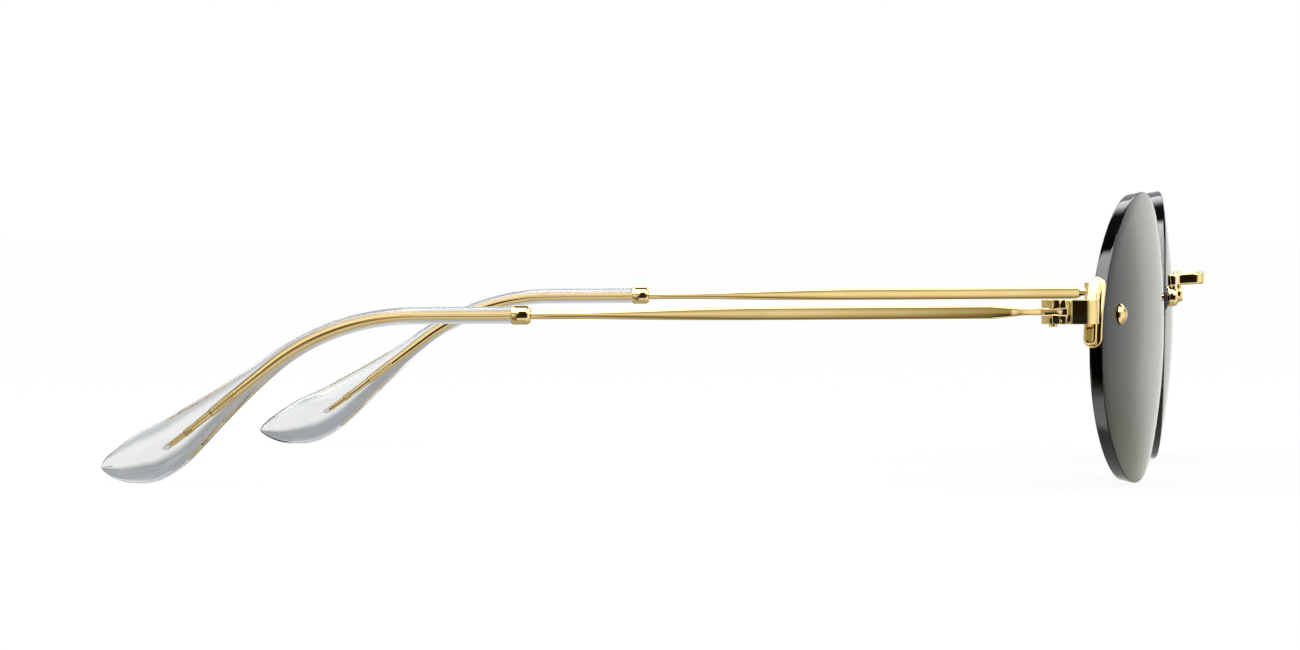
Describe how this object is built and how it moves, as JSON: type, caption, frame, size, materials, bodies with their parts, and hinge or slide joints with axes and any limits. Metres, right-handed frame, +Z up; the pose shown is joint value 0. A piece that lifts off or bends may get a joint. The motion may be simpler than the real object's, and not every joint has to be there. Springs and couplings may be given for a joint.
{
  "type": "rimless sunglasses",
  "caption": "Rimless sunglasses with tinted oval drilled lenses, gold wire temples that fold, a stepped gold bridge, rocking nose pads and clear temple tips.",
  "frame": {"origin": "centre of the bounding box in plan, on the surface the glasses stand on", "axes": "+Y from the front back along the open temples, +Z up, +X toward the wearer's left"},
  "size_m": [0.1374, 0.1579, 0.0426],
  "materials": {
    "gold": "polished gold plate",
    "lens": "polished, grey-green tint",
    "tip": "clear, polished",
    "bushing": "clear",
    "washer": "dark",
    "insert": "clear",
    "pad": "soft, translucent"
  },
  "bodies": {
    "front": {"bridge": "gold", "lens_right": "lens", "endpiece_right": "gold", "endpiece_screw_right": "gold", "endpiece_bush_right": "bushing", "endpiece_nut_right": "gold", "bridge_washer_right": "washer", "bridge_rear_washer_right": "gold", "bridge_screw_right": "gold", "pad_arm_right": "gold", "pad_box_right": "gold", "pad_screw_right": "gold", "hinge_screw_right": "gold", "lens_left": "lens", "endpiece_left": "gold", "endpiece_screw_left": "gold", "endpiece_bush_left": "bushing", "endpiece_nut_left": "gold", "bridge_washer_left": "washer", "bridge_rear_washer_left": "gold", "bridge_screw_left": "gold", "pad_arm_left": "gold", "pad_box_left": "gold", "pad_screw_left": "gold", "hinge_screw_left": "gold"},
    "right_temple": {"temple_right": "gold", "collar_right": "gold", "tip_right": "tip"},
    "left_temple": {"temple_left": "gold", "collar_left": "gold", "tip_left": "tip"},
    "right_pad": {"pad_insert_right": "insert", "nose_pad_right": "pad"},
    "left_pad": {"pad_insert_left": "insert", "nose_pad_left": "pad"}
  },
  "joints": [
    {"name": "right_temple_fold", "type": "hinge", "parent": "front", "child": "right_temple", "pos_m": [-0.066, -0.05935, 0.0257], "axis": [0, 0, -1], "range_deg": [0, 79]},
    {"name": "left_temple_fold", "type": "hinge", "parent": "front", "child": "left_temple", "pos_m": [0.066, -0.05935, 0.0257], "axis": [0, 0, 1], "range_deg": [0, 88]},
    {"name": "right_pad_rock", "type": "hinge", "parent": "front", "child": "right_pad", "pos_m": [-0.01167, -0.06812, 0.0184], "axis": [-0.377, 0.9196, 0.1106], "range_deg": [-12, 12]},
    {"name": "left_pad_rock", "type": "hinge", "parent": "front", "child": "left_pad", "pos_m": [0.01167, -0.06812, 0.0184], "axis": [-0.377, -0.9196, -0.1106], "range_deg": [-12, 12]}
  ]
}
